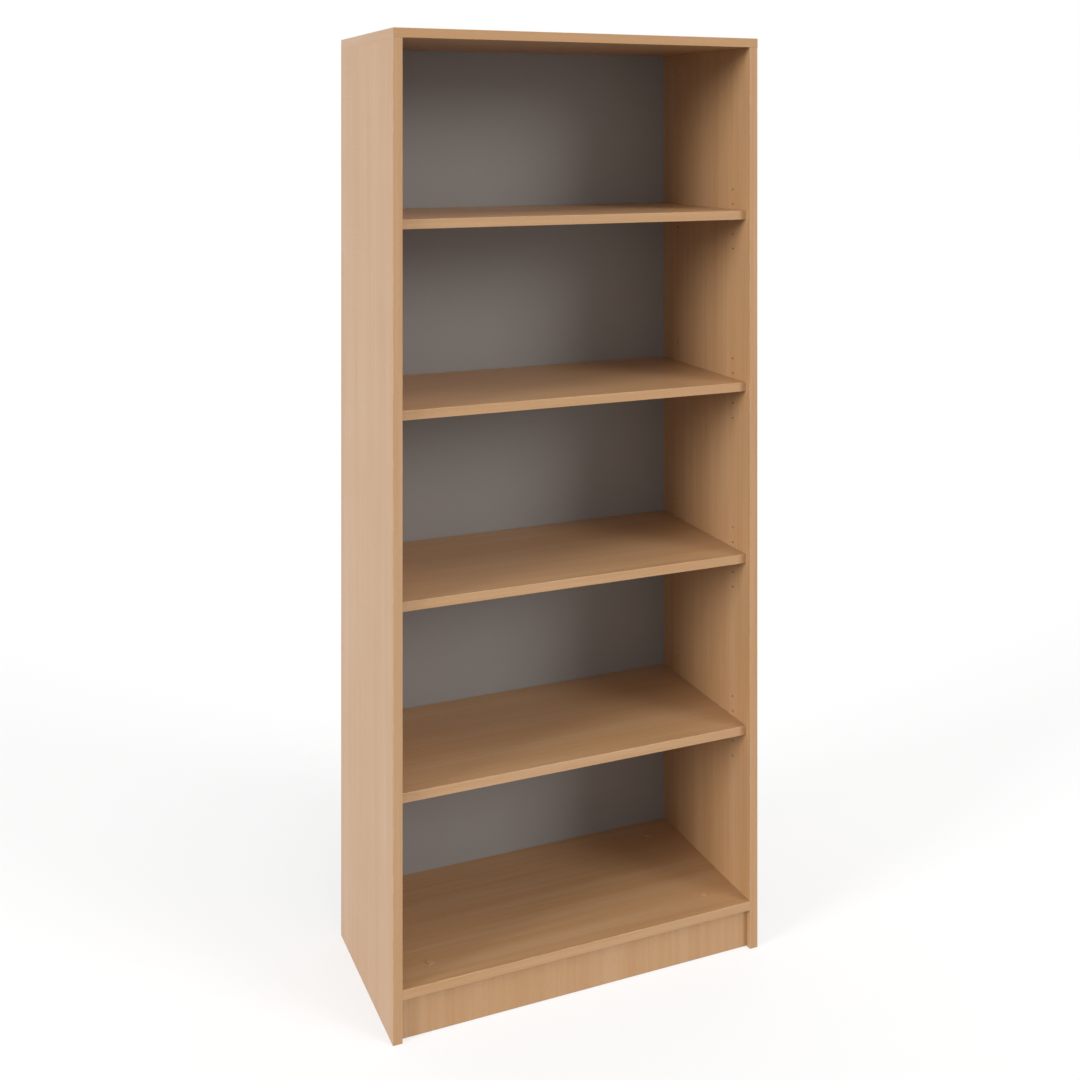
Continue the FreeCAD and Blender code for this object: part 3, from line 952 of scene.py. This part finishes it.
@dataclass(frozen=True)
class Levellers:
    """The four screw levellers behind the plinths."""

    corners: tuple[str, ...] = ("front_left", "front_right", "rear_left", "rear_right")
    collar: float = 0.004
    pitch: float = 0.0025
    thread_mm: float = 0.6
    fixings: str = "leveller_housing_screws"
    fixing_head: float = 0.0022
    fixing_pitch: float = 0.0016
    fixing_thread_mm: float = 0.35

    def dress(self, frame: Frame) -> None:
        """Puts plastic on the housings and feet, and plating on the screws.

        Args:
            frame: The loaded unit.
        """
        plastic = [f"leveller_{piece}_{corner}" for piece in ("housing", "foot") for corner in self.corners]
        dress(frame, plastic, BLACK_PLASTIC)
        screws = [f"leveller_screw_{corner}" for corner in self.corners]
        start, end = Extent.of(screws[0]).span(Axis.Z)
        thread = Thread(Axis.Z, start, end - self.collar, self.pitch, self.thread_mm)
        dress(frame, screws, replace(PLATED_STEEL, name="plated_leveller_screws", thread=thread))
        start, end = Extent.of(self.fixings).span(Axis.Z)
        thread = Thread(Axis.Z, start + self.fixing_head, end, self.fixing_pitch, self.fixing_thread_mm)
        dress(frame, [self.fixings], replace(PLATED_STEEL, name=f"plated_{self.fixings}", thread=thread))
        dress(frame, ["access_hole_plugs"], BEECH_PLASTIC)


@dataclass(frozen=True)
class Lamp:
    """A distant soft lamp. The bearing is from the open front, to the right where it is positive."""

    name: str
    bearing_deg: float
    height_deg: float
    light: float
    spread_deg: float

    def build(self) -> None:
        """Sets the lamp up, as bright on a white surface as its light, with no mirror image of itself."""
        bearing = math.radians(self.bearing_deg)
        height = math.radians(self.height_deg)
        level = math.cos(height)
        towards = Vector((math.sin(bearing) * level, -math.cos(bearing) * level, math.sin(height)))
        data = bpy.data.lights.new(self.name, "SUN")
        data.energy = math.pi * self.light
        data.angle = math.radians(self.spread_deg)
        lamp = add_object(self.name, data)
        lamp.rotation_euler = towards.to_track_quat("Z", "Y").to_euler()
        lamp.visible_glossy = False
        LOG.info("%s: bearing %.0f, height %.0f", self.name, self.bearing_deg, self.height_deg)


@dataclass(frozen=True)
class Studio:
    """The pale floor, the white surroundings and the soft lamps."""

    floor_reach: float = 60.0
    floor_shade: float = 0.40
    floor_glow: float = 0.61
    fill: float = 0.58
    lamps: tuple[Lamp, ...] = (
        Lamp("lamp_right", bearing_deg=38.0, height_deg=19.0, light=0.45, spread_deg=24.0),
        Lamp("lamp_left", bearing_deg=-75.0, height_deg=14.0, light=0.635, spread_deg=20.0),
        Lamp("lamp_above", bearing_deg=0.0, height_deg=70.0, light=0.16, spread_deg=30.0),
    )

    def seen(self, sheet: NodeSheet) -> Signal:
        """Tells what is looked at from what only gives light.

        Args:
            sheet: The sheet to draw on.

        Returns:
            1 for what is seen straight, in a gloss or through glass, and else 0.
        """
        rays = sheet.add("ShaderNodeLightPath").outputs
        names = ("Is Camera Ray", "Is Glossy Ray", "Is Transmission Ray")
        straight, glossy, through = (Signal(sheet, rays[name]) for name in names)
        return straight.most(glossy).most(through)

    def build_floor(self) -> None:
        """Lays a flat floor that looks white and still takes the shadow of the unit."""
        reach = self.floor_reach
        corners = [(-reach, -reach, 0), (reach, -reach, 0), (reach, reach, 0), (-reach, reach, 0)]
        mesh = bpy.data.meshes.new("floor")
        mesh.from_pydata(corners, [], [(0, 1, 2, 3)])
        material, sheet = new_material("pale_floor")
        matt = sheet.node("ShaderNodeBsdfDiffuse", inputs={"Color": opaque(even(self.floor_shade))})
        glow = sheet.node("ShaderNodeEmission", inputs={"Strength": self.floor_glow * self.seen(sheet)})
        sheet.show("ShaderNodeOutputMaterial", sheet.node("ShaderNodeAddShader", inputs={0: matt, 1: glow}))
        mesh.materials.append(material)
        add_object("floor", mesh)
        LOG.info("floor")

    def build_surroundings(self) -> None:
        """Makes the surroundings white to look at, and a plain fill light."""
        world = bpy.data.worlds.new("white_surroundings")
        world.use_nodes = True
        sheet = NodeSheet(world.node_tree)
        strength = self.fill + (1 - self.fill) * self.seen(sheet)
        white = {"Color": opaque(WHITE), "Strength": strength}
        sheet.show("ShaderNodeOutputWorld", sheet.node("ShaderNodeBackground", inputs=white))
        bpy.context.scene.world = world
        LOG.info("surroundings")

    def build(self) -> None:
        """Sets up the floor, the surroundings and the lamps."""
        self.build_floor()
        self.build_surroundings()
        for lamp in self.lamps:
            lamp.build()


@dataclass(frozen=True)
class Viewpoint:
    """The camera, level and set off to the left, with its frame shifted down."""

    place: Triple = (-1.14106, -2.65385, 1.72205)
    tilt_deg: float = 90.0
    heading_deg: float = -22.934
    focal_px: float = 1356.78
    image_px: float = 1080.0
    horizon_px: float = 132.2
    sensor_mm: float = 36.0

    def build(self) -> None:
        """Sets the camera up as the camera of the scene."""
        data = bpy.data.cameras.new("camera")
        data.sensor_width = self.sensor_mm
        data.lens = self.focal_px / self.image_px * self.sensor_mm
        data.shift_y = (self.horizon_px - self.image_px / 2) / self.image_px
        camera = add_object("camera", data)
        camera.location = self.place
        camera.rotation_euler = (math.radians(self.tilt_deg), 0.0, math.radians(self.heading_deg))
        bpy.context.scene.camera = camera
        LOG.info("camera")


def main() -> None:
    """Loads the unit, sets the colour view and the camera, dresses each sub-assembly and sets up the
    studio.
    """
    logging.basicConfig(level=logging.INFO, format="%(message)s")
    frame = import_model()
    bpy.context.scene.view_settings.view_transform = "Standard"
    Viewpoint().build()
    for assembly in (Carcass(), LooseShelves(), BackPanel(), CornerFittings(), Levellers()):
        assembly.dress(frame)
    Studio().build()


if __name__ == "__main__":
    main()
